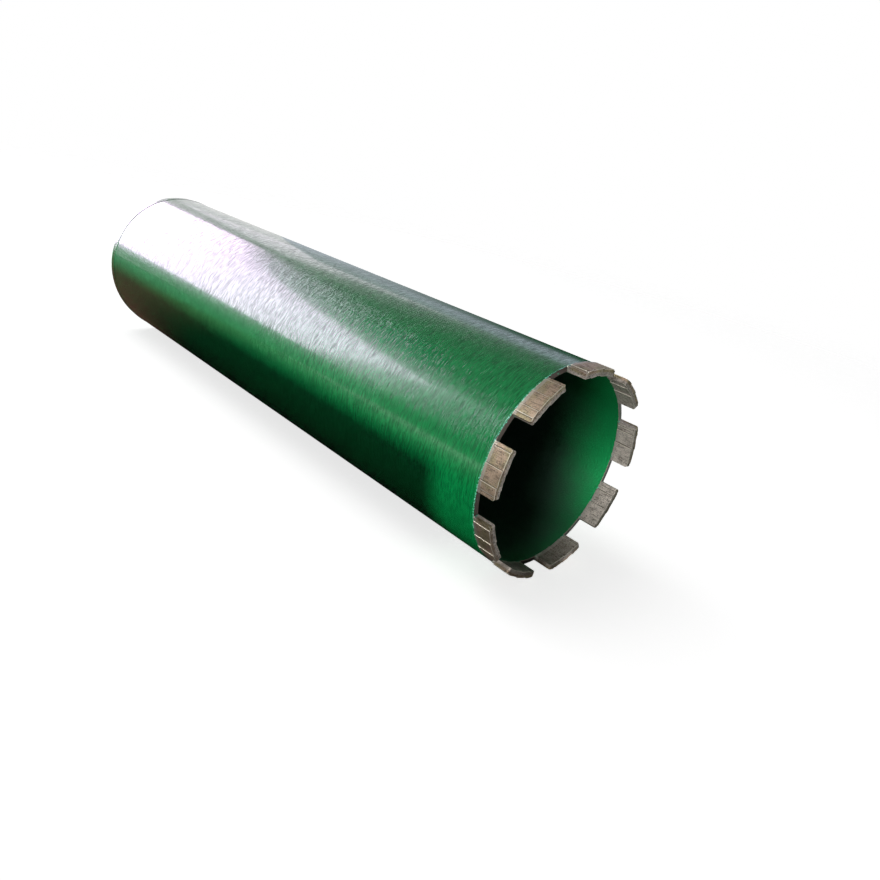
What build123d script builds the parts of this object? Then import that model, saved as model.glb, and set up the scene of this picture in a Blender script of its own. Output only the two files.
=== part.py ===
# Wet diamond core bit, lying on its side, in millimetres.
# The tool's axis is Y. The origin is where the hub's thread begins, +Y leaves the hub towards the
# drill, and the crown faces -Y, with a gap between two segments at the bottom.

from math import ceil, cos, degrees, radians, sin, tan
import os

from build123d import *

# Crown
cutting_diameter = 107.0       # over the proud edges of the segments
segment_count = 9
segment_width = 24.0           # along the outside of one segment
segment_height = 10.0          # from the rim to the cutting face
outside_clearance = 0.7        # how far the segments stand outside the tube
inside_clearance = 0.6         # and inside it
ramp_width = 8.1               # from one step of the turbo ramps to the next
ramp_depth = 0.45              # how far each ramp falls back
strip_width = 1.9              # relieved strip at both ends of a segment
inner_step_lag = 1.3           # the inner steps follow the outer ones by this much
tip_corner_radius = 1.1        # rounded corners of the cutting face

# Tube
tube_wall = 2.5
barrel_length = 400.0          # from the rim to the back of the end plate

# End plate
plate_thickness = 6.0          # behind the tube
plate_edge_chamfer = 1.0
spigot_depth = 4.0             # the part of the plate inside the tube
spigot_clearance = 0.05
weld_groove = 1.2              # chamfer on the tube and the plate under the round weld
weld_crown = 0.35              # height of the weld bead above the tube

# Hub
thread_minor_diameter = 28.0   # 1 1/4"-7 UNC, female
thread_chamfer = 2.0           # opens the mouth past the thread's major diameter
hub_length = 40.0              # outside the plate
hub_across_flats = 41.0
hex_length = 27.0              # the stretch that a spanner takes
hex_corner_trim = 0.9          # the end of the hexagon is turned down inside its flats by this much
hex_trim_angle = 30.0
collar_diameter = 50.0
collar_chamfer = 1.5
hub_spigot_diameter = 38.0     # the part of the hub inside the plate
hub_spigot_clearance = 0.05
hub_weld_leg = 4.0             # fillet weld around the collar

# Radii, and stations along Y, worked out from the sizes above
cutting_radius = cutting_diameter / 2
tube_radius = cutting_radius - outside_clearance
tube_bore_radius = tube_radius - tube_wall
core_radius = tube_bore_radius - inside_clearance
spigot_radius = tube_bore_radius - spigot_clearance
thread_radius = thread_minor_diameter / 2
collar_radius = collar_diameter / 2
hub_spigot_radius = hub_spigot_diameter / 2
plate_bore_radius = hub_spigot_radius + hub_spigot_clearance

hub_face_y = thread_chamfer
hex_start_y = hub_face_y - hex_length
plate_back_y = hub_face_y - hub_length
tube_end_y = plate_back_y - plate_thickness
spigot_front_y = tube_end_y - spigot_depth
rim_y = plate_back_y - barrel_length


def across(y):
    """Plane across the tool's axis, facing the crown's way, with +X to the right and +Z up."""
    return Plane(origin=(0, y, 0), x_dir=(1, 0, 0), z_dir=(0, -1, 0))


def polar(radius, angle):
    """Point at a radius and at an angle in degrees."""
    return (radius * cos(radians(angle)), radius * sin(radians(angle)))


# Segments: on each side three ramps follow each other like saw teeth, between two relieved strips.
# The outer ramps start proud and fall back, the inner ones start fallen back and come proud, so the
# wall of the segment keeps about one thickness.

def ramp_profile(step_lag, starts_proud):
    """Points along one side of a segment: (distance along it, fall from its proud radius)."""
    ramps_start = strip_width + step_lag
    ramps_end = segment_width - strip_width
    points = [(0, ramp_depth), (ramps_start, ramp_depth)]
    for number in range(ceil((ramps_end - ramps_start) / ramp_width)):
        start = ramps_start + number * ramp_width
        end = min(start + ramp_width, ramps_end)
        change = ramp_depth * (end - start) / ramp_width
        if starts_proud:
            points += [(start, 0), (end, change)]
        else:
            points += [(start, ramp_depth), (end, ramp_depth - change)]
    points += [(ramps_end, ramp_depth), (segment_width, ramp_depth)]
    return list(dict.fromkeys(points))


def segment_outline(start_angle):
    """Closed outline of a segment across the tool's axis, from its first end."""
    def angle(distance):
        return start_angle + degrees(distance / cutting_radius)

    outside = [polar(cutting_radius - fall, angle(distance)) for distance, fall in ramp_profile(0, True)]
    inside = [polar(core_radius + fall, angle(distance))
              for distance, fall in ramp_profile(inner_step_lag, False)]
    return outside + inside[::-1]


segment_angle = degrees(segment_width / cutting_radius)
wall_middle_radius = (cutting_radius + core_radius) / 2
corner_radius = min(tip_corner_radius, strip_width / 2)
segments = []
for number in range(segment_count):
    middle_angle = 90 - number * 360 / segment_count
    end_angles = (middle_angle - segment_angle / 2, middle_angle + segment_angle / 2)
    with BuildPart() as segment:
        with BuildSketch(across(rim_y)):
            with BuildLine():
                Polyline(*segment_outline(end_angles[0]), close=True)
            make_face()
        extrude(amount=segment_height)
        tip = across(rim_y - segment_height)
        corners = [tip.from_local_coords(polar(wall_middle_radius, angle)) for angle in end_angles]
        fillet([segment.edges().sort_by_distance(corner)[0] for corner in corners], corner_radius)
    segment.part.label = f"segment_{number + 1}"
    segments.append(segment.part)


# Tube: open at the rim, chamfered at the rear for the round weld
with BuildPart() as tube:
    with BuildSketch(across(tube_end_y)):
        Circle(tube_radius)
        Circle(tube_bore_radius, mode=Mode.SUBTRACT)
    extrude(amount=tube_end_y - rim_y)
    rear_edges = tube.edges().filter_by(GeomType.CIRCLE).group_by(Axis.Y)[-1]
    chamfer(rear_edges.sort_by(SortBy.RADIUS)[-1], weld_groove)
tube.part.label = "tube"


# End plate: shoulder behind the tube, spigot inside it, and the weld bead that fills the groove
with BuildPart() as end_plate:
    with BuildSketch(Plane.XY):
        with BuildLine():
            Polyline((plate_bore_radius, spigot_front_y), (plate_bore_radius, plate_back_y),
                     (tube_radius - plate_edge_chamfer, plate_back_y),
                     (tube_radius, plate_back_y - plate_edge_chamfer),
                     (tube_radius, tube_end_y + weld_groove))
            ThreePointArc((tube_radius, tube_end_y + weld_groove), (tube_radius + weld_crown, tube_end_y),
                          (tube_radius, tube_end_y - weld_groove))
            Polyline((tube_radius, tube_end_y - weld_groove), (tube_radius - weld_groove, tube_end_y),
                     (spigot_radius, tube_end_y), (spigot_radius, spigot_front_y),
                     (plate_bore_radius, spigot_front_y))
        make_face()
    revolve(axis=Axis.Y)
end_plate.part.label = "end_plate"


# Hub: a spigot through the plate, a round collar with its fillet weld, and a hexagon for the spanner
with BuildPart() as hub:
    with BuildSketch(Plane.XY):
        with BuildLine():
            Polyline((0, spigot_front_y), (hub_spigot_radius, spigot_front_y),
                     (hub_spigot_radius, plate_back_y), (collar_radius + hub_weld_leg, plate_back_y),
                     (collar_radius, plate_back_y + hub_weld_leg), (collar_radius, hex_start_y - collar_chamfer),
                     (collar_radius - collar_chamfer, hex_start_y), (0, hex_start_y), (0, spigot_front_y))
        make_face()
    revolve(axis=Axis.Y)
    with BuildSketch(across(hub_face_y)):
        RegularPolygon(hub_across_flats / 2, 6, major_radius=False)
    extrude(amount=hex_length)
    trim_start_radius = hub_across_flats / 2 - hex_corner_trim
    trim_drop = (collar_radius - trim_start_radius) * tan(radians(hex_trim_angle))
    with BuildSketch(Plane.XY):
        with BuildLine():
            Polyline((trim_start_radius, hub_face_y), (collar_radius, hub_face_y),
                     (collar_radius, hub_face_y - trim_drop), close=True)
        make_face()
    revolve(axis=Axis.Y, mode=Mode.SUBTRACT)
    with BuildSketch(across(hub_face_y)):
        Circle(thread_radius)
    extrude(amount=hub_face_y - spigot_front_y, mode=Mode.SUBTRACT)
    bore_edges = hub.edges().filter_by(GeomType.CIRCLE).filter_by(lambda edge: edge.radius == thread_radius)
    chamfer(bore_edges, thread_chamfer)
hub.part.label = "hub"


os.makedirs("parts", exist_ok=True)
for piece in [tube.part, end_plate.part, hub.part] + segments:
    export_step(piece, f"parts/{piece.label}.step")
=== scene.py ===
from math import ceil, cos, pi, radians, sin, sqrt, tan, tau

import bpy
import bmesh
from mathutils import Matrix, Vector, noise


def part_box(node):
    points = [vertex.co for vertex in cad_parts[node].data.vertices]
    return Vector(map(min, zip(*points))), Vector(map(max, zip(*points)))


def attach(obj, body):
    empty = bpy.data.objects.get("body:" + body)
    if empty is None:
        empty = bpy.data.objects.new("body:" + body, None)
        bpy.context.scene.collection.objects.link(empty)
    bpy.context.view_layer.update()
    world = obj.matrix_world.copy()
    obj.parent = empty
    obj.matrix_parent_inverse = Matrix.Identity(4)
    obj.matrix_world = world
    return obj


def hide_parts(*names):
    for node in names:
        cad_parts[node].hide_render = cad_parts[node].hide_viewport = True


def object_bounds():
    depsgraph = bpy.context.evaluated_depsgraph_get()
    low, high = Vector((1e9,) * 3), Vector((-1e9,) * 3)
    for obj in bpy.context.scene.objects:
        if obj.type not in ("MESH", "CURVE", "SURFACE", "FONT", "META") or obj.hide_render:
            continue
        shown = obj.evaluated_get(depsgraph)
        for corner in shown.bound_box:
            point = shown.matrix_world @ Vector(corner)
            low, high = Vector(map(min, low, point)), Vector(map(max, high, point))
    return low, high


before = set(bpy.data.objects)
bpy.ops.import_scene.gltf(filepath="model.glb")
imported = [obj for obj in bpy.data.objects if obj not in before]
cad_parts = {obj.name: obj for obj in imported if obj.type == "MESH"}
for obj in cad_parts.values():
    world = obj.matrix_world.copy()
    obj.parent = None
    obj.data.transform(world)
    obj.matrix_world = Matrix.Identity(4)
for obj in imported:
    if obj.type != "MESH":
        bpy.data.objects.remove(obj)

cadLow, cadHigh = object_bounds()
mm = 0.001
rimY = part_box("tube")[0].y              # front end of the tube, where the segments stand
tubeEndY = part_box("tube")[1].y          # rear end of the tube, under the round weld
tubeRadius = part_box("tube")[1].x
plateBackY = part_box("end_plate")[1].y
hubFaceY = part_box("hub")[1].y
floorZ = cadLow.z
print("frame loaded, rim at", round(rimY, 4))


# Shader helpers

class Sock:
    # a socket that can be added to, multiplied and so on, each giving a Math node
    def __init__(self, net, socket):
        self.net = net
        self.socket = socket

    def maths(self, operation, *values):
        return self.net.add("Math", {"operation": operation}, dict(enumerate(values)))

    def __add__(self, other):
        return self.maths("ADD", self, other)

    def __radd__(self, other):
        return self.maths("ADD", other, self)

    def __sub__(self, other):
        return self.maths("SUBTRACT", self, other)

    def __rsub__(self, other):
        return self.maths("SUBTRACT", other, self)

    def __mul__(self, other):
        return self.maths("MULTIPLY", self, other)

    def __rmul__(self, other):
        return self.maths("MULTIPLY", other, self)

    def __pow__(self, other):
        return self.maths("POWER", self, other)

    def most(self, other):
        return self.maths("MAXIMUM", self, other)

    def rise(self, low, high):
        # 0 below low, 1 above high, smooth between
        return self.net.add("MapRange", {"interpolation_type": "SMOOTHSTEP"},
                            {"Value": self, "From Min": low, "From Max": high})

    def output(self, name):
        return Sock(self.net, self.socket.node.outputs[name])


class Net:
    # the node tree of one material or world
    def __init__(self, owner, outputKind="OutputMaterial"):
        owner.use_nodes = True
        self.tree = owner.node_tree
        self.tree.nodes.clear()
        self.end = self.tree.nodes.new("ShaderNode" + outputKind)

    def add(self, kind, settings=None, inputs=None):
        # settings are set first, then the sockets' values or links
        node = self.tree.nodes.new("ShaderNode" + kind)
        for name, value in (settings or {}).items():
            setattr(node, name, value)
        for name, value in (inputs or {}).items():
            socket = node.inputs[name]
            if isinstance(value, Sock):
                self.tree.links.new(value.socket, socket)
            else:
                socket.default_value = value
        return Sock(self, next(output for output in node.outputs if output.enabled))

    def mix(self, factor, low, high):
        # colour between two colours
        return self.add("Mix", {"data_type": "RGBA", "clamp_factor": True},
                        {"Factor": factor, 6: low, 7: high}).output(2)

    def place(self):
        # where on the object a point is, in metres
        return self.add("TexCoord").output("Object")

    def apart(self, vector):
        parts = self.add("SeparateXYZ", None, {0: vector})
        return [parts.output(axis) for axis in "XYZ"]

    def noise(self, vector, scale, detail=2.0, roughness=0.5):
        # scale is a number, or one for each axis, which stretches the grain
        if not isinstance(scale, (int, float)):
            vector = self.add("VectorMath", {"operation": "MULTIPLY"}, {0: vector, 1: scale})
            scale = 1.0
        return self.add("TexNoise", None, {"Vector": vector, "Scale": scale, "Detail": detail,
                                           "Roughness": roughness})

    def bump(self, height, depth, strength=1.0):
        return self.add("Bump", None, {"Strength": strength, "Distance": depth, "Height": height})

    def mark(self, name):
        # value that a mesh's points carry
        return self.add("Attribute", {"attribute_name": name}).output("Fac")

    def finish(self, shader):
        self.tree.links.new(shader.socket, self.end.inputs["Surface"])


def tone(red, green=None, blue=None):
    # a colour given as it looks on a screen, 0 to 255; one number gives a grey
    values = (red, red, red) if green is None else (red, green, blue)
    shares = [value / 255 for value in values]
    linear = [share / 12.92 if share <= 0.04045 else ((share + 0.055) / 1.055) ** 2.4 for share in shares]
    return (*linear, 1.0)


def fromAxis(x, z):
    # distance from the tool's axis
    return (x * x + z * z) ** 0.5


# Mesh helpers

# what the lamps for the lacquer, the bare metal and the floor light, and what shades the floor
litBy = {name: bpy.data.collections.new(name + "Lit") for name in ("object", "lacquer", "metal", "floor")}


def ringPoint(radius, angle, y):
    # angle in radians from +X towards +Z
    return Vector((radius * cos(angle), y, radius * sin(angle)))


def makePiece(name, vertices, faces, material, slotName, replaced=(), sharpAngle=35):
    mesh = bpy.data.meshes.new(name)
    mesh.from_pydata(vertices, [], faces)
    build = bmesh.new()
    build.from_mesh(mesh)
    bmesh.ops.recalc_face_normals(build, faces=build.faces)
    build.to_mesh(mesh)
    build.free()
    mesh.shade_smooth()
    mesh.set_sharp_from_angle(angle=radians(sharpAngle))
    mesh.materials.append(material)
    piece = bpy.data.objects.new(name, mesh)
    bpy.context.scene.collection.objects.link(piece)
    litBy["object"].objects.link(piece)
    litBy["lacquer" if slotName == "lacquer" else "metal"].objects.link(piece)
    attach(piece, "root")
    if replaced:
        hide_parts(*replaced)
    return piece


def latheFaces(rings, steps):
    # quads between rings of points, the last ring joined to the first one
    faces = []
    for ring in range(rings):
        following = (ring + 1) % rings
        for step in range(steps):
            after = (step + 1) % steps
            faces.append((ring * steps + step, ring * steps + after,
                          following * steps + after, following * steps + step))
    return faces


def spread(start, end, spacing):
    # evenly spaced values from start to end, end left out
    count = max(1, ceil(abs(end - start) / spacing))
    return [start + (end - start) * number / count for number in range(count)]


# Camera, where the crown is seen a little from above and from its left

camera = {
    "place": (-0.275244, -0.611449, 0.122925),         # metres
    "turn": (68.796156, -11.760289, -43.437490),       # degrees
    "lens": 29.6427,                                   # millimetres, as the sensor's width
    "sensor": 36.0,
    "nearest": 10 * mm,
}


def makeCamera():
    data = bpy.data.cameras.new("camera")
    data.lens = camera["lens"]
    data.sensor_width = camera["sensor"]
    data.clip_start = camera["nearest"]
    holder = bpy.data.objects.new("camera", data)
    holder.location = camera["place"]
    holder.rotation_euler = [radians(angle) for angle in camera["turn"]]
    bpy.context.scene.collection.objects.link(holder)
    bpy.context.scene.camera = holder


# Studio: pale floor, surroundings that are white low down and dimmer above, and soft panels

white = (1.0, 1.0, 1.0)
cardZ = floorZ + 0.25 * mm         # where the cards that lie on the floor are

studio = {
    "ambient": (0.15, 0.07),       # even light on the object from low down, all round, and from above
    "horizon": 1.0,                # brightness that the camera and the metal see low down, all round
    "overhead": 0.16,              # and above
    "dimming": (0.40, 0.62),       # height, as the sine of the angle above the horizon, where it dims
    "floorColour": tone(242),
    "floorGlow": 0.76,             # white that the floor shows besides the light that falls on it
    "floorHalf": 3.0,
    "floorFade": (0.55, 1.5),      # where the floor melts into the surroundings
    "panels": {                    # power and colour of each panel's lamp for what it lights
        "rear": {"place": (-0.75, 2.60, 0.88), "aim": (0.0, -0.2, 0.05), "size": (2.95, 1.85),
                 "lacquer": (114.0, (0.95, 0.68, 1.0)), "metal": (158.0, (1.0, 0.97, 0.94))},
        "left": {"place": (-1.90, -0.90, 0.30), "aim": (0.0, -0.42, 0.0), "size": (0.7, 0.6),
                 "lacquer": (64.0, white), "metal": (26.0, (1.0, 0.99, 0.97))},
        "right": {"place": (1.08, 1.24, 0.83), "aim": (0.0, -0.25, 0.05), "size": (1.15, 0.56),
                  "lacquer": (2.0, (0.96, 0.80, 1.0))},
        "rightFill": {"place": (1.90, -0.15, 0.60), "aim": (0.0, -0.2, 0.0), "size": (0.9, 0.9),
                      "lacquer": (36.0, white), "metal": (12.0, white)},
        "top": {"place": (-0.5, 0.6, 1.9), "aim": (0.0, -0.2, 0.0), "size": (1.6, 1.6),
                "floor": (16.0, white)},
    },
    # cards seen only in reflections, between two opposite corners: glowing sheets that paint reflections
    # of dark and lit surroundings; each goes from one tone to another along an axis, and then to a further
    # one along Y
    "cards": {
        "floorCard": {"corners": ((-0.30, -0.62, cardZ), (0.02, 0.06, cardZ)), "axis": "X",
                      "from": (-0.28, tone(150)), "to": (-0.115, tone(10)),
                      "then": (-0.12, 0.06, tone(112, 80, 68))},
        "rightCard": {"corners": ((0.15, -0.56, cardZ), (0.15, 0.04, 0.19)), "axis": "Z",
                      "from": (0.078, tone(10, 56, 32)), "to": (0.13, tone(216, 214, 240)),
                      "then": (-0.34, 0.02, tone(206, 212, 222))},
        "rightFloorCard": {"corners": ((0.035, -0.56, cardZ), (0.15, 0.04, cardZ)), "axis": "X",
                           "from": (0.0, tone(8, 40, 24)), "to": (0.1, tone(8, 40, 24)),
                           "then": (-0.36, 0.0, tone(150, 170, 160))},
        "leftCard": {"corners": ((-0.50, -0.95, cardZ), (-0.50, 0.08, 0.45)), "axis": "Z",
                     "from": (0.0, tone(60)), "to": (0.4, tone(60))},
        "farLeftCard": {"corners": ((-0.50, 0.08, cardZ), (-0.50, 1.20, 0.08)), "axis": "Z",
                        "from": (-0.03, tone(176, 206, 190)), "to": (0.08, tone(250, 248, 255))},
        "farFloorCard": {"corners": ((-0.50, 0.06, cardZ), (0.02, 0.60, cardZ)), "axis": "X",
                         "from": (-0.24, tone(130, 180, 150)), "to": (-0.09, tone(112, 80, 68))},
    },
    "flag": ((-0.085, -0.42, cardZ), (-0.085, 0.0, 0.004)),
    "flagColour": tone(10),
}


def seenDirectly(net):
    # 1 for what the camera sees itself or in metal and glass, 0 for light on the object
    path = net.add("LightPath")
    return path.output("Is Camera Ray").most(path.output("Is Glossy Ray")) \
        .most(path.output("Is Transmission Ray"))


def makeWorld():
    world = bpy.data.worlds.new("studio")
    bpy.context.scene.world = world
    net = Net(world, "OutputWorld")
    height = net.apart(net.add("TexCoord").output("Generated"))[2]
    dim = height.rise(*studio["dimming"])
    low, high = studio["ambient"]
    ambient = low + dim * (high - low)
    shown = studio["horizon"] + dim * (studio["overhead"] - studio["horizon"])
    strength = ambient + seenDirectly(net) * (shown - ambient)
    net.finish(net.add("Background", None, {"Color": tone(255), "Strength": strength}))


def makeLamp(name, panel, lit):
    data = bpy.data.lights.new(name, "AREA")
    data.shape = "RECTANGLE"
    data.size, data.size_y = panel["size"]
    data.energy, data.color = panel[lit]
    lamp = bpy.data.objects.new(name, data)
    lamp.location = panel["place"]
    direction = Vector(panel["aim"]) - Vector(panel["place"])
    lamp.rotation_euler = direction.to_track_quat("-Z", "Y").to_euler()
    lamp.visible_camera = False
    lamp.light_linking.receiver_collection = litBy[lit]
    if lit == "floor":
        lamp.light_linking.blocker_collection = litBy["object"]
    bpy.context.scene.collection.objects.link(lamp)


def makeLamps():
    # the lacquer, the bare metal and the floor have lamps of their own, some of them in one place
    for name, panel in studio["panels"].items():
        for lit in ("lacquer", "metal", "floor"):
            if lit in panel:
                makeLamp(f"{name}Panel.{lit}", panel, lit)


def stageSheet(name, corners, material):
    mesh = bpy.data.meshes.new(name)
    mesh.from_pydata(corners, [], [(0, 1, 2, 3)])
    mesh.materials.append(material)
    sheet = bpy.data.objects.new(name, mesh)
    bpy.context.scene.collection.objects.link(sheet)
    return sheet


def rectangle(first, last):
    # its four corners, from two opposite ones that lie in a plane across X or Z
    if first[2] == last[2]:
        return [first, (last[0], first[1], first[2]), last, (first[0], last[1], first[2])]
    return [first, (first[0], last[1], first[2]), last, (first[0], first[1], last[2])]


def makeFloor():
    half = studio["floorHalf"]
    material = bpy.data.materials.new("studioFloor")
    net = Net(material)
    matt = net.add("BsdfDiffuse", None, {"Color": studio["floorColour"]})
    strength = seenDirectly(net) * studio["floorGlow"]
    glow = net.add("Emission", None, {"Color": tone(255), "Strength": strength})
    lit = net.add("AddShader", None, {0: matt, 1: glow})
    away = net.add("VectorMath", {"operation": "LENGTH"}, {0: net.place()}).output("Value")
    clear = net.add("BsdfTransparent")
    net.finish(net.add("MixShader", None, {0: away.rise(*studio["floorFade"]), 1: lit, 2: clear}))
    floor = stageSheet("floor", rectangle((-half, -half, floorZ), (half, half, floorZ)), material)
    litBy["floor"].objects.link(floor)


def makeCards():
    for name, card in studio["cards"].items():
        material = bpy.data.materials.new(name)
        net = Net(material)
        places = dict(zip("XYZ", net.apart(net.place())))
        (start, first), (end, last) = card["from"], card["to"]
        shade = net.mix(places[card["axis"]].rise(start, end), first, last)
        if "then" in card:
            start, end, last = card["then"]
            shade = net.mix(places["Y"].rise(start, end), shade, last)
        # painted reflection: the card glows with its tones and is seen only in reflections
        net.finish(net.add("Emission", None, {"Color": shade, "Strength": 1.0}))
        sheet = stageSheet(name, rectangle(*card["corners"]), material)
        sheet.visible_camera = False
        sheet.visible_diffuse = False
        sheet.visible_shadow = False


def makeFlag():
    # upright strip that only shades: it keeps the left panel's light off the lower flank
    material = bpy.data.materials.new("flag")
    net = Net(material)
    net.finish(net.add("BsdfDiffuse", None, {"Color": studio["flagColour"]}))
    flag = stageSheet("flag", rectangle(*studio["flag"]), material)
    flag.visible_camera = False
    flag.visible_diffuse = False
    flag.visible_glossy = False


# Green lacquer over brushed steel. In this material and the next ones a noise is its scale, which may
# differ along X, Y and Z, then its detail and roughness, and "from" gives where it begins and ends

lacquer = {
    "green": tone(4, 110, 54),
    "deepGreen": tone(0, 76, 36),
    "greenFrom": (0.38, 0.62),
    "metallic": 0.15,
    "roughness": 0.2,
    "mottleRough": 0.08,                     # how far the mottle changes the roughness
    "grainRough": 0.25,                      # and the grain
    "ior": 1.55,
    "highlightTint": (1.0, 0.9, 1.0, 1.0),
    "coatLeast": 0.2,
    "coatGrain": 0.8,                        # what the grain adds to the coat
    "coatFrom": (0.43, 0.58),
    "coatRoughness": 0.12,
    "coatIor": 1.55,
    "brushFine": ((270, 2900, 270), 1.0),    # grain across the tube's axis
    "brushLong": ((160, 1600, 160), 1.0),
    "turnFine": ((70, 2600, 70), 1.0),       # and round the plate: across, along a radius, across
    "turnLong": ((30, 900, 30), 1.0),
    "fineShare": 0.6,
    "mottle": (55, 3.0),
    "brushDepth": 0.16 * mm,
    "bareEdge": 0.25 * mm,                   # steel left bare at the rim
    "bareRagged": 0.8 * mm,                  # either way
    "bareSoft": (-0.05 * mm, 0.08 * mm),
    "bareMetal": 0.6,                        # what the bare steel adds to the metallic value
    "bareRough": 0.12,                       # and to the roughness
    "raggedNoise": (900, 3.0, 0.65),
    "steel": tone(88, 79, 71),
    "paintedRimLight": tone(176, 172, 168),           # painted light: the bare steel at the rim is painted lighter towards +X
    "paintedRimLightEnd": 45 * mm,
    "paintedRimLightRagged": 20 * mm,
    # painted highlight: pale glints along the paint's edge at the rim
    "paintedGlint": tone(120, 205, 180),
    "paintedGlintNoise": (1900, 1.0),
    "paintedGlintFrom": (0.53, 0.59),
    "paintedGlintReach": 1.2 * mm,
}


def brushedGrain(net, place):
    # 0 to 1, brushed across the tube's axis
    fine = net.noise(place, *lacquer["brushFine"])
    long = net.noise(place, *lacquer["brushLong"])
    return fine * lacquer["fineShare"] + long * (1 - lacquer["fineShare"])


def turnedGrain(net, place):
    # 0 to 1, turned round the axis on a flat face
    x, y, z = net.apart(place)
    around = net.add("CombineXYZ", None, {0: x, 1: fromAxis(x, z) + y, 2: z})
    fine = net.noise(around, *lacquer["turnFine"])
    long = net.noise(around, *lacquer["turnLong"])
    return fine * lacquer["fineShare"] + long * (1 - lacquer["fineShare"])


def rimWear(net, place, green):
    # where the steel is bare at the rim, and the green with that steel in it; the bare steel is painted
    # lighter towards +X, a painted light, and the green has pale painted glints along the paint's edge
    x, y, z = net.apart(place)
    ragged = net.noise(place, *lacquer["raggedNoise"]) - 0.5
    gap = (y - rimY) - lacquer["bareEdge"] - ragged * lacquer["bareRagged"] * 2
    bare = 1 - gap.rise(*lacquer["bareSoft"])
    nearEdge = 1 - gap.rise(0, lacquer["paintedGlintReach"])
    # painted highlight: pale glints near the paint's edge
    paintedGlints = net.noise(place, *lacquer["paintedGlintNoise"]).rise(*lacquer["paintedGlintFrom"]) * nearEdge * (1 - bare)
    # painted light: the bare steel gets lighter towards +X
    paintedRimLight = (x + ragged * lacquer["paintedRimLightRagged"]).rise(0, lacquer["paintedRimLightEnd"])
    steelTone = net.mix(paintedRimLight, lacquer["steel"], lacquer["paintedRimLight"])
    return bare, net.mix(bare, net.mix(paintedGlints, green, lacquer["paintedGlint"]), steelTone)


def brushedLacquer(name, grainOf, wornRim):
    material = bpy.data.materials.new(name)
    net = Net(material)
    place = net.place()
    grain = grainOf(net, place)
    mottle = net.noise(place, *lacquer["mottle"])
    colour = net.mix(grain.rise(*lacquer["greenFrom"]), lacquer["deepGreen"], lacquer["green"])
    metal = lacquer["metallic"]
    rough = lacquer["roughness"] + (mottle - 0.5) * lacquer["mottleRough"] \
        + (0.5 - grain) * lacquer["grainRough"]
    coat = lacquer["coatLeast"] + grain.rise(*lacquer["coatFrom"]) * lacquer["coatGrain"]
    if wornRim:
        bare, colour = rimWear(net, place, colour)
        metal = metal + bare * lacquer["bareMetal"]
        coat = coat * (1 - bare)
        rough = rough + bare * lacquer["bareRough"]
    net.finish(net.add("BsdfPrincipled", None, {
        "Base Color": colour, "Metallic": metal, "Roughness": rough, "IOR": lacquer["ior"],
        "Specular Tint": lacquer["highlightTint"], "Coat Weight": coat,
        "Coat Roughness": lacquer["coatRoughness"], "Coat IOR": lacquer["coatIor"],
        "Normal": net.bump(grain, lacquer["brushDepth"])}))
    return material


# Overspray in the bore, painted darker and greyer further in and sooner below the axis: painted shade in
# the bore

bore = {
    "paint": tone(19, 133, 72),
    # painted shade deep in the bore
    "paintedBoreShade": tone(58, 88, 72),
    "fade": (4 * mm, 50 * mm),
    "cloud": (90, 4.0, 0.65),
    "ragged": 18 * mm,            # how far the cloud moves the fade
    "boreShadeBelow": 0.6,             # the painted shade begins nearer the rim below the axis
    "speckle": tone(30, 138, 80),
    "speckleFrom": (0.5, 0.8),
    "speckleShare": 0.5,
    "grain": (1100, 3.0, 0.6),
    "grainDepth": 0.2 * mm,
    "bare": tone(138, 130, 120),  # at the rim
    "bareNoise": (900, 3.0, 0.65),
    "bareFrom": 0.35,             # noise under which nothing is bare
    "bareReach": 1.0 * mm,
    "bareSoft": 0.12 * mm,
    "metallic": 0.8,
    "roughness": 0.5,
    "grainRough": 0.3,
    "gloss": 0.2,
}


def borePaint():
    material = bpy.data.materials.new("borePaint")
    net = Net(material)
    place = net.place()
    x, y, z = net.apart(place)
    cloud = net.noise(place, *bore["cloud"])
    grain = net.noise(place, *bore["grain"])
    # painted shade: darker and greyer further into the bore and lower down
    depth = (y - rimY) + (cloud - 0.5) * bore["ragged"] + (0 - z).most(0) * bore["boreShadeBelow"]
    boreShaded = depth.rise(*bore["fade"])
    colour = net.mix(boreShaded, bore["paint"], bore["paintedBoreShade"])
    speckles = grain.rise(*bore["speckleFrom"]) * bore["speckleShare"] * (1 - boreShaded)
    colour = net.mix(speckles, colour, bore["speckle"])
    ragged = (net.noise(place, *bore["bareNoise"]) - bore["bareFrom"]) * bore["bareReach"]
    bare = 1 - ((y - rimY) - ragged).rise(0, bore["bareSoft"])
    colour = net.mix(bare, colour, bore["bare"])
    net.finish(net.add("BsdfPrincipled", None, {
        "Base Color": colour, "Metallic": bore["metallic"], "Specular IOR Level": bore["gloss"],
        "Roughness": bore["roughness"] + (grain - 0.5) * bore["grainRough"],
        "Normal": net.bump(grain, bore["grainDepth"])}))
    return material


# Sintered segment metal

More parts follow.
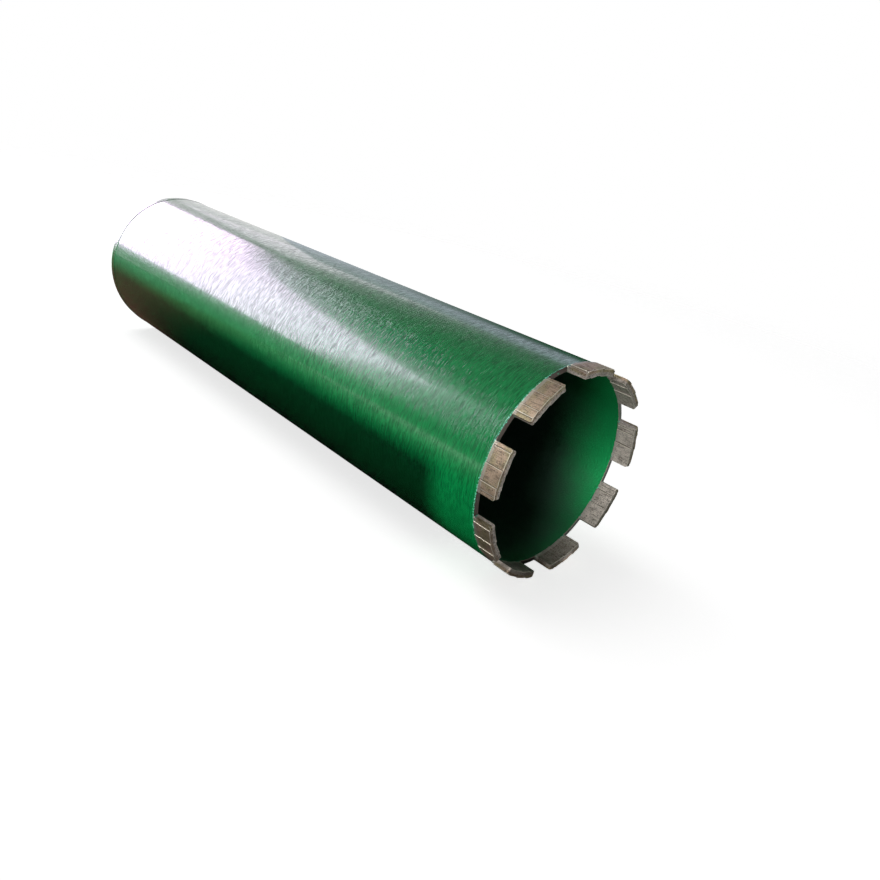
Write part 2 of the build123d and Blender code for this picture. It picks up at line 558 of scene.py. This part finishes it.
sinter = {
    # the inner faces are greyer than the outer ones, and painted lighter: painted light that makes up for
    # the light they lack
    "inside": tone(216, 207, 197),
    "outside": tone(174, 153, 132),
    "olive": tone(158, 147, 116),
    "oliveNoise": (140, 1.0),
    "oliveFrom": (0.42, 0.58),
    "wallRadii": (51.0 * mm, 52.2 * mm),     # between the inner faces and the outer ones
    "paintedShade": tone(64, 50, 37),             # painted shade on the inner faces
    "paintedShadeBelow": ((34 * mm, 52 * mm), 0.7), # from and to this far below the axis, and how much
    "paintedShadeAbove": ((16 * mm, 40 * mm), 0.3), # and above it
    # laid over that in this order: noise, where it shows, how much of it and its colour
    "layers": {
        "blotches": ((240, 4.0, 0.65), (0.44, 0.7), 0.45, tone(70, 58, 44)),
        "scratches": (((300, 3200, 300), 2.0), (0.5, 0.7), 0.4, tone(182, 178, 170)),
        "grinding": (((2300, 200, 2300), 2.0), (0.5, 0.68), 0.6, tone(70, 58, 44)),
        "specks": ((1700, 1.0), (0.58, 0.66), 0.75, tone(56, 50, 42)),
    },
    "base": tone(182, 178, 170),             # band next to the rim without diamonds
    "baseShare": 0.6,
    "baseEnd": (1.2 * mm, 1.9 * mm),
    "baseRagged": 0.9 * mm,
    "wornAndHighlit": tone(244, 238, 222),             # along ridges and edges: wear, and a painted highlight
    "wornAndHighlitFrom": (0.1, 0.75),
    "wornAndHighlitLeast": 0.35,
    "wornAndHighlitGrain": 0.7,
    "dirtAndShade": tone(56, 50, 42),                # along the feet of the steps: dirt, and painted shade in these creases
    "dirtAndShadeFrom": (0.1, 0.8),
    "dirtAndShadeShare": 0.85,
    "grain": (1300, 3.0, 0.7),
    "heights": {"grain": 0.6, "scratches": 0.3, "grinding": 0.3, "specks": 0.5},
    "depth": 0.1 * mm,
    "metallic": 0.4,
    "outsideMetal": 0.35,                    # what the outer faces add to it
    "roughness": 0.46,
    "grainRough": 0.25,
    "baseSmooth": 0.08,
}


def sinteredMetal():
    material = bpy.data.materials.new("sinteredMetal")
    net = Net(material)
    place = net.place()
    x, y, z = net.apart(place)
    grain = net.noise(place, *sinter["grain"])
    outer = fromAxis(x, z).rise(*sinter["wallRadii"])
    olive = net.noise(place, *sinter["oliveNoise"]).rise(*sinter["oliveFrom"])
    # inner faces painted lighter than the outer ones, partly painted light
    colour = net.mix(outer, sinter["inside"], net.mix(olive, sinter["outside"], sinter["olive"]))
    # painted shade: inner faces darker below the axis, and a little darker above it
    (belowReach, belowShare), (aboveReach, aboveShare) = sinter["paintedShadeBelow"], sinter["paintedShadeAbove"]
    below = (0 - z).rise(*belowReach) * (1 - outer)
    above = z.rise(*aboveReach) * (1 - outer)
    colour = net.mix(below * belowShare + above * aboveShare, colour, sinter["paintedShade"])
    noises, shown = {}, {}
    for name, (pattern, showsFrom, most, layerColour) in sinter["layers"].items():
        noises[name] = net.noise(place, *pattern)
        shown[name] = noises[name].rise(*showsFrom)
        colour = net.mix(shown[name] * most, colour, layerColour)
    ragged = (noises["blotches"] - 0.5) * sinter["baseRagged"]
    base = 1 - (rimY - y + ragged).rise(*sinter["baseEnd"])
    colour = net.mix(base * sinter["baseShare"], colour, sinter["base"])
    # dirt and painted shade along the feet of the steps
    foot = net.mark("foot").rise(*sinter["dirtAndShadeFrom"])
    colour = net.mix(foot * sinter["dirtAndShadeShare"], colour, sinter["dirtAndShade"])
    # wear and painted highlight along the ridges of the steps and on the tips
    ridge = net.mark("ridge").rise(*sinter["wornAndHighlitFrom"])
    colour = net.mix(ridge * (sinter["wornAndHighlitLeast"] + grain * sinter["wornAndHighlitGrain"]), colour, sinter["wornAndHighlit"])
    share = sinter["heights"]
    height = grain * share["grain"] + noises["scratches"] * share["scratches"] \
        + noises["grinding"] * share["grinding"] - shown["specks"] * share["specks"]
    rough = sinter["roughness"] + (grain - 0.5) * sinter["grainRough"] - base * sinter["baseSmooth"]
    net.finish(net.add("BsdfPrincipled", None, {
        "Base Color": colour, "Metallic": sinter["metallic"] + outer * sinter["outsideMetal"],
        "Roughness": rough, "Normal": net.bump(height, sinter["depth"])}))
    return material


# Turned steel of the hub, with lacquer over its weld

steel = {
    "light": tone(196, 195, 192),
    "dull": tone(168, 165, 160),
    "dullNoise": (90, 4.0, 0.65),
    "dullFrom": (0.42, 0.68),
    "heat": tone(150, 118, 84),              # straw colour next to the weld
    "heatReach": (4 * mm, 15 * mm),          # from the plate
    "heatRagged": 6 * mm,
    "heatShare": 0.6,
    "paint": tone(2, 112, 54),
    "paintReach": (5.1 * mm, 5.6 * mm),
    "paintRagged": 6.8 * mm,
    "drips": (260, 4.0, 0.65),
    "dripHeight": 0.3,
    "threadEdge": (18 * mm, 19 * mm),        # no heat or paint inside this radius
    "stripes": ((150, 3000, 150), 2.0),
    "depth": 0.04 * mm,
    "paintMetal": 0.15,
    "paintCoat": 0.6,
    "roughness": 0.3,
    "dullRough": 0.2,
    "stripeRough": 0.2,
}


def turnedSteel():
    material = bpy.data.materials.new("turnedSteel")
    net = Net(material)
    place = net.place()
    x, y, z = net.apart(place)
    away = y - plateBackY
    outside = fromAxis(x, z).rise(*steel["threadEdge"])
    stripes = net.noise(place, *steel["stripes"])
    dull = net.noise(place, *steel["dullNoise"])
    drips = net.noise(place, *steel["drips"])
    colour = net.mix(dull.rise(*steel["dullFrom"]), steel["light"], steel["dull"])
    heat = (1 - (away + (dull - 0.5) * steel["heatRagged"]).rise(*steel["heatReach"])) * outside
    colour = net.mix(heat * steel["heatShare"], colour, steel["heat"])
    paint = (1 - (away + (drips - 0.5) * steel["paintRagged"]).rise(*steel["paintReach"])) * outside
    colour = net.mix(paint, colour, steel["paint"])
    height = stripes * (1 - paint) + drips * steel["dripHeight"]
    net.finish(net.add("BsdfPrincipled", None, {
        "Base Color": colour, "Metallic": 1 - paint * (1 - steel["paintMetal"]),
        "Coat Weight": paint * steel["paintCoat"], "Normal": net.bump(height, steel["depth"]),
        "Roughness": steel["roughness"] + (dull - 0.5) * steel["dullRough"]
        + (stripes - 0.5) * steel["stripeRough"]}))
    return material


# Barrel: the rolled tube, ground at the rim

barrel = {
    "wall": 2.5 * mm,
    "rimBevel": 0.15 * mm,
    "rearChamfer": 1.2 * mm,
    "ringSpacing": 4.0 * mm,
    "steps": 360,
    "boreEdge": 0.1 * mm,          # faces within this of the bore's radius have the bore's paint
}


def makeBarrel():
    outer = tubeRadius
    inner = outer - barrel["wall"]
    bevel = barrel["rimBevel"]
    chamfer = barrel["rearChamfer"]
    spacing = barrel["ringSpacing"]
    steps = barrel["steps"]
    profile = [(inner + bevel, rimY), (outer - bevel, rimY)]
    profile += [(outer, y) for y in spread(rimY + bevel, tubeEndY - chamfer, spacing)]
    profile += [(outer, tubeEndY - chamfer), (outer - chamfer, tubeEndY)]
    profile += [(inner, y) for y in spread(tubeEndY, rimY + bevel, spacing)]
    profile += [(inner, rimY + bevel)]
    vertices = [ringPoint(radius, tau * step / steps, y) for radius, y in profile for step in range(steps)]
    piece = makePiece("barrel", vertices, latheFaces(len(profile), steps),
                      brushedLacquer("barrelLacquer", brushedGrain, True), "lacquer", ["tube"])
    piece.data.materials.append(borePaint())
    for face in piece.data.polygons:
        middle = face.center
        if sqrt(middle.x ** 2 + middle.z ** 2) < inner + barrel["boreEdge"]:
            face.material_index = 1
    print("barrel made")


# Segments

crown = {
    "count": 9,
    "cuttingRadius": 53.5 * mm,
    "coreRadius": 49.7 * mm,
    "width": 24.0 * mm,
    "height": 10.0 * mm,
    "rampWidth": 8.1 * mm,
    "rampDepth": 0.45 * mm,
    "stripWidth": 1.9 * mm,
    "innerLag": 1.3 * mm,
    "stepDraft": 0.12 * mm,        # half the width of a step's wall
    "tipCorner": 0.95 * mm,
    "cornerTurns": range(0, 90, 15),         # degrees round a tip's corner that have points
    "grid": 0.33 * mm,
    "edgeBevel": 0.13 * mm,
    "bevelSegments": 2,
    "bevelFrom": 38,               # degrees
    "unevenness": 0.035 * mm,      # of the faces
    "tipWear": 0.16 * mm,
    "chip": 0.35 * mm,
    "chipFrom": 0.28,              # noise above which an edge is chipped
    "faceScale": 1300,             # of the noises
    "tipScale": 420,
    "chipScale": 900,
    "noiseWall": 4.0 * mm,         # how far apart the noise takes the two sides to be
    "seed": ((1.7, 7.3), (0, 3.1), (11.9, 0)),    # along X, Y and Z: first, and step to the next segment
}


def middleAngle(number):
    return pi / 2 - number * tau / crown["count"]


def rampProfile(lag, startsProud):
    # points along one side of a segment, (distance along it, fall from its proud radius)
    depth, width, draft = crown["rampDepth"], crown["rampWidth"], crown["stepDraft"]
    start = crown["stripWidth"] + lag
    end = crown["width"] - crown["stripWidth"]
    points = [(0, depth)]
    for number in range(ceil((end - start) / width)):
        first = start + number * width
        last = min(first + width, end)
        change = depth * (last - first) / width
        points.append((first - draft, points[-1][1]))
        if startsProud:
            points += [(first + draft, 0), (last - draft, change)]
        else:
            points += [(first + draft, depth), (last - draft, depth - change)]
    points += [(end + draft, depth), (crown["width"], depth)]
    return points


def along(points, distance):
    # value at a distance on a line of points
    for (before, low), (after, high) in zip(points, points[1:]):
        if distance <= after:
            return low + (high - low) * (distance - before) / (after - before) if after > before else high
    return points[-1][1]


def segmentStations(outside, inside):
    # distances along a segment: every corner of both profiles, the rounded corners, and a grid between;
    # seven digits, so that two marks in one place give one station
    rounding = [crown["tipCorner"] * (1 - cos(radians(angle))) for angle in crown["cornerTurns"]]
    marks = [distance for distance, fall in outside + inside]
    marks += rounding + [crown["width"] - value for value in rounding]
    ordered = sorted({round(distance, 7) for distance in marks})
    stations = []
    for before, after in zip(ordered, ordered[1:]):
        stations += spread(before, after, crown["grid"])
    return stations + [ordered[-1]]


def stepEdges(profile, stations):
    # numbers of the stations at the proud edges of one side's steps, and of those at their feet
    leastChange = crown["rampDepth"] / 3
    stepSpan = crown["stepDraft"] * 3
    places = {"ridge": [], "foot": []}
    for (before, beforeFall), (after, afterFall) in zip(profile, profile[1:]):
        if abs(beforeFall - afterFall) > leastChange:
            places["ridge" if afterFall < beforeFall else "foot"].append(after)
            if after - before < stepSpan:
                places["ridge" if beforeFall < afterFall else "foot"].append(before)

    def nearest(place):
        return min(range(len(stations)), key=lambda i: abs(stations[i] - place))

    return {mark: {nearest(place) for place in marked} for mark, marked in places.items()}


def softenEdges(piece):
    bevel = piece.modifiers.new("softEdges", "BEVEL")
    bevel.width = crown["edgeBevel"]
    bevel.segments = crown["bevelSegments"]
    bevel.limit_method = "ANGLE"
    bevel.angle_limit = radians(crown["bevelFrom"])


def makeSegment(number, material):
    outside = rampProfile(0, True)
    inside = rampProfile(crown["innerLag"], False)
    stations = segmentStations(outside, inside)
    corner = crown["tipCorner"]
    rows = ceil((crown["cuttingRadius"] - crown["coreRadius"]) / crown["grid"])
    layers = ceil(crown["height"] / crown["grid"])
    start = middleAngle(number) - crown["width"] / crown["cuttingRadius"] / 2
    last = len(stations) - 1
    seed = Vector([step * number + first for first, step in crown["seed"]])

    def wear(point, scale):
        return noise.noise(point * scale + seed)

    def position(i, j, k):
        # i counts along the segment, j from the inside out, k from the rim to the tip
        distance = stations[i]
        toEnd = min(distance, crown["width"] - distance)
        drop = corner - sqrt(max(0, corner ** 2 - (corner - toEnd) ** 2)) if toEnd < corner else 0
        high = crown["cuttingRadius"] - along(outside, distance)
        low = crown["coreRadius"] + along(inside, distance)
        flat = Vector((distance, j / rows * crown["noiseWall"], k / layers * crown["height"]))
        onEdge = (i in (0, last)) + (j in (0, rows)) + (k == layers) >= 2
        chip = crown["chip"] * max(0, wear(flat, crown["chipScale"]) - crown["chipFrom"]) if onEdge else 0
        tipWear = crown["tipWear"] * (0.5 + wear(flat.xy.to_3d(), crown["tipScale"]))
        tipHeight = crown["height"] - drop - tipWear
        height = tipHeight * k / layers - (chip if k == layers else 0)
        inward = crown["unevenness"] * (0.5 + wear(flat, crown["faceScale"])) + chip
        if j == rows:
            high -= inward
        if j == 0:
            low += inward
        if i == 0:
            distance += inward
        if i == last:
            distance -= inward
        radius = low + (high - low) * j / rows
        return ringPoint(radius, start + distance / crown["cuttingRadius"], rimY - height)

    index = {}
    vertices = []

    def vertex(i, j, k):
        if (i, j, k) not in index:
            index[i, j, k] = len(vertices)
            vertices.append(position(i, j, k))
        return index[i, j, k]

    faces = []

    def addFace(*corners):
        faces.append([vertex(*corner) for corner in corners])

    for i in range(last):
        for k in range(layers):
            for j in (0, rows):
                addFace((i, j, k), (i + 1, j, k), (i + 1, j, k + 1), (i, j, k + 1))
        for j in range(rows):
            for k in (0, layers):
                addFace((i, j, k), (i + 1, j, k), (i + 1, j + 1, k), (i, j + 1, k))
    for j in range(rows):
        for k in range(layers):
            for i in (0, last):
                addFace((i, j, k), (i, j + 1, k), (i, j + 1, k + 1), (i, j, k + 1))
    piece = makePiece(f"segment.{number + 1}", vertices, faces, material, "segment_metal",
                      [f"segment_{number + 1}"])
    edges = {rows: stepEdges(outside, stations), 0: stepEdges(inside, stations)}
    for mark in ("ridge", "foot"):
        values = piece.data.attributes.new(mark, "FLOAT", "POINT").data
        for (i, j, k), place in index.items():
            onTip = mark == "ridge" and k == layers
            values[place].value = float(j in edges and (onTip or i in edges[j][mark]))
    softenEdges(piece)


# Braze: a thin uneven seam round the foot of each segment

braze = {
    "thickness": 0.26 * mm,        # half of it
    "unevenness": 0.16 * mm,
    "lumpScale": 900,
    "height": 1.5,                 # times the thickness
    "sides": 8,
    "turnSpacing": 0.008,          # radians between points along the rim
    "wallSpacing": 0.4 * mm,       # and across it
    "colour": tone(160, 160, 148),
    "paint": tone(96, 176, 150),   # overspray on it
    "paintNoise": (700, 2.0),
    "paintFrom": (0.52, 0.6),
    "grain": (1400, 2.0),
    "grainDepth": 0.05 * mm,
    "grainStrength": 0.8,
    "metallic": 0.6,
    "roughness": 0.4,
}


def brazeMetal():
    material = bpy.data.materials.new("brazeMetal")
    net = Net(material)
    place = net.place()
    paint = net.noise(place, *braze["paintNoise"]).rise(*braze["paintFrom"])
    grain = net.noise(place, *braze["grain"])
    net.finish(net.add("BsdfPrincipled", None, {
        "Base Color": net.mix(paint, braze["colour"], braze["paint"]), "Metallic": braze["metallic"],
        "Roughness": braze["roughness"],
        "Normal": net.bump(grain, braze["grainDepth"], braze["grainStrength"])}))
    return material


def makeBraze(number, material):
    half = crown["width"] / crown["cuttingRadius"] / 2
    first, last = middleAngle(number) - half, middleAngle(number) + half
    inner = tubeRadius - barrel["wall"]
    path = [(tubeRadius, angle) for angle in spread(first, last, braze["turnSpacing"])]
    path += [(radius, last) for radius in spread(tubeRadius, inner, braze["wallSpacing"])]
    path += [(inner, angle) for angle in spread(last, first, braze["turnSpacing"])]
    path += [(radius, first) for radius in spread(inner, tubeRadius, braze["wallSpacing"])]
    points = [ringPoint(radius, angle, rimY) for radius, angle in path]
    up = Vector((0, 1, 0))
    vertices = []
    for place, point in enumerate(points):
        forward = (points[(place + 1) % len(points)] - points[place - 1]).normalized()
        across = forward.cross(up).normalized()
        size = braze["thickness"] + braze["unevenness"] * noise.noise(point * braze["lumpScale"])
        for side in range(braze["sides"]):
            turn = tau * side / braze["sides"]
            vertices.append(point + across * size * cos(turn) + up * size * braze["height"] * sin(turn))
    makePiece(f"braze.{number + 1}", vertices, latheFaces(len(points), braze["sides"]), material,
              "segment_metal", sharpAngle=80)


def makeCrown():
    metal = sinteredMetal()
    seam = brazeMetal()
    for number in range(crown["count"]):
        makeSegment(number, metal)
        makeBraze(number, seam)
    print("crown made")


# End plate: turned disc behind the tube, with the round weld that joins them

endPlate = {
    "bore": 19.05 * mm,
    "spigot": 50.25 * mm,
    "groove": 1.2 * mm,
    "edgeChamfer": 1.0 * mm,
    "ringSpacing": 3.0 * mm,
    "weldCrown": 0.35 * mm,
    "weldRipples": 190,
    "rippleShare": 0.28,           # of the weld's height
    "wanderShare": 0.1,
    "wanderScale": 9,
    "weldRows": 10,
    "steps": 760,
}


def weldRipple(turn, across, ripples, bend=2.2):
    # overlapping crescents of a weld bead, 0 in the dips and 1 on the crests
    return 0.5 + 0.5 * cos(ripples * turn + bend * across ** 2)


def roundWeld(turn, across):
    # height of the bead, from -1 at one edge of it to 1 at the other
    if abs(across) >= 1:
        return 0
    ripple = weldRipple(turn, across, endPlate["weldRipples"])
    high = (1 - across ** 2) * (1 - endPlate["rippleShare"] + endPlate["rippleShare"] * ripple)
    wander = noise.noise(ringPoint(endPlate["wanderScale"], turn, 0))
    return endPlate["weldCrown"] * high * (1 - endPlate["wanderShare"] + endPlate["wanderShare"] * wander)


def makeEndPlate():
    groove, edge, rows = endPlate["groove"], endPlate["edgeChamfer"], endPlate["weldRows"]
    plateBore, spigot = endPlate["bore"], endPlate["spigot"]
    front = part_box("end_plate")[0].y
    faceRadii = spread(tubeRadius - edge, plateBore, endPlate["ringSpacing"])
    rings = [(plateBore, plateBackY)] + [(radius, plateBackY) for radius in reversed(faceRadii)]
    rings += [(tubeRadius, plateBackY - edge)]
    beadStart = len(rings)
    rings += [(tubeRadius, tubeEndY + groove * (1 - 2 * row / rows)) for row in range(rows + 1)]
    rings += [(tubeRadius - groove, tubeEndY), (spigot, tubeEndY), (spigot, front), (plateBore, front)]
    vertices = []
    for place, (radius, y) in enumerate(rings):
        across = (place - beadStart) / rows * 2 - 1
        for step in range(endPlate["steps"]):
            turn = tau * step / endPlate["steps"]
            vertices.append(ringPoint(radius + roundWeld(turn, across), turn, y))
    makePiece("endPlate", vertices, latheFaces(len(rings), endPlate["steps"]),
              brushedLacquer("plateLacquer", turnedGrain, False), "lacquer", ["end_plate"], sharpAngle=30)
    print("end plate made")


# Hub: collar, spanner hexagon and the thread for the drill spindle

hub = {
    "flats": 20.5 * mm,            # half the width across the flats
    "cornerRadius": 23.55 * mm,    # the bar's own round takes off the corners
    "hexLength": 27.0 * mm,
    "trimRadius": 19.6 * mm,       # the end is turned down to this, at this slope
    "trimSlope": radians(30),
    "collar": 25.0 * mm,
    "collarChamfer": 1.5 * mm,
    "weldLeg": 4.0 * mm,
    "weldRipples": 66,
    "weldRows": 8,
    "weldBulge": 0.25 * mm,        # of the weld's face, and what the ripples add to it
    "rippleHeight": 0.35 * mm,
    "bulgeLean": 0.7,              # share of the bulge that goes out, and back
    "spigot": 19.0 * mm,
    "threadMinor": 14.0 * mm,
    "threadMajor": 15.875 * mm,
    "threadPitch": 25.4 / 7 * mm,
    "threadRoot": 1 / 16,          # half of its flat, as a share of the pitch
    "threadFlank": 5 / 16,
    "threadRows": 12,              # rows of points to one turn of the thread
    "ringSpacing": 2.5 * mm,
    "trimSpacing": 0.25 * mm,
    "faceSpacing": 1.0 * mm,
    "clearOfWeld": 0.2 * mm,       # where the rings next to a corner begin
    "clearOfCollar": 0.3 * mm,
    "clearOfTrim": 0.5 * mm,
    "hexInset": 0.02 * mm,         # keeps the hexagon's corners inside the collar's face
    "steps": 360,
}


def hexRadius(turn):
    side = (turn + pi / 6) % (pi / 3) - pi / 6
    return min(hub["flats"] / cos(side), hub["cornerRadius"])


def threadRadius(turn, y):
    # flat crest, flank, narrow flat root, flank
    around = (-y / hub["threadPitch"] + turn / tau) % 1
    rise = min(max((abs(around - 0.5) - hub["threadRoot"]) / hub["threadFlank"], 0), 1)
    return hub["threadMajor"] + (hub["threadMinor"] - hub["threadMajor"]) * rise


def filletWeld(turn, part):
    # point on the weld between the plate, part 0, and the collar, part 1
    ripple = weldRipple(turn, part * 2 - 1, hub["weldRipples"])
    bulge = sin(pi * part) * (hub["weldBulge"] + hub["rippleHeight"] * ripple) * hub["bulgeLean"]
    leg = hub["weldLeg"]
    return hub["collar"] + leg * (1 - part) + bulge, plateBackY + leg * part + bulge


def hubRings():
    # rings round the hub, from the spigot over the weld, collar and hexagon into the thread; each
    # gives the radius and the place along the axis at a turn
    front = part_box("hub")[0].y
    chamfer = hubFaceY             # the thread begins at the origin
    mouth = hub["threadMinor"] + chamfer
    hexStart = hubFaceY - hub["hexLength"]
    slope = tan(hub["trimSlope"])
    trimStart = hubFaceY - (hub["cornerRadius"] - hub["trimRadius"]) * slope
    collar, faceEdge = hub["collar"], hub["collar"] - hub["collarChamfer"]
    chamferStart = hexStart - hub["collarChamfer"]
    weldEnd = plateBackY + hub["weldLeg"] + hub["clearOfWeld"]
    rings = [lambda turn: (mouth, front), lambda turn: (hub["spigot"], front),
             lambda turn: (hub["spigot"], plateBackY)]
    rings += [lambda turn, part=row / hub["weldRows"]: filletWeld(turn, part)
              for row in range(hub["weldRows"] + 1)]
    rings += [lambda turn, y=y: (collar, y) for y in spread(weldEnd, chamferStart, hub["ringSpacing"])]
    rings += [lambda turn: (collar, chamferStart), lambda turn: (faceEdge, hexStart),
              lambda turn: (min(hexRadius(turn), faceEdge - hub["hexInset"]), hexStart)]
    rings += [lambda turn, y=y: (hexRadius(turn), y)
              for y in spread(hexStart + hub["clearOfCollar"], trimStart, hub["ringSpacing"])]
    rings += [lambda turn, y=y: (min(hexRadius(turn), hub["trimRadius"] + (hubFaceY - y) / slope), y)
              for y in spread(trimStart, hubFaceY, hub["trimSpacing"]) + [hubFaceY]]
    faceRadii = spread(hub["trimRadius"] - hub["clearOfTrim"], mouth, hub["faceSpacing"]) + [mouth]
    rings += [lambda turn, radius=radius: (radius, hubFaceY) for radius in faceRadii]

    def threadRing(y):
        flare = max(y, front + chamfer - y)
        return lambda turn: (max(threadRadius(turn, y), hub["threadMinor"] + flare), y)

    threadSpacing = hub["threadPitch"] / hub["threadRows"]
    return rings + [threadRing(y) for y in spread(hubFaceY, front, threadSpacing)[1:]]


def makeHub():
    rings = hubRings()
    turns = [tau * step / hub["steps"] for step in range(hub["steps"])]
    vertices = []
    for ring in rings:
        for turn in turns:
            radius, y = ring(turn)
            vertices.append(ringPoint(radius, turn, y))
    makePiece("hub", vertices, latheFaces(len(rings), hub["steps"]), turnedSteel(), "hub_steel", ["hub"],
              sharpAngle=28)
    print("hub made")


makeCamera()
makeWorld()
makeLamps()
makeFloor()
makeCards()
makeFlag()
print("studio made")
makeBarrel()
makeCrown()
makeEndPlate()
makeHub()
bpy.context.scene.view_settings.view_transform = "Standard"
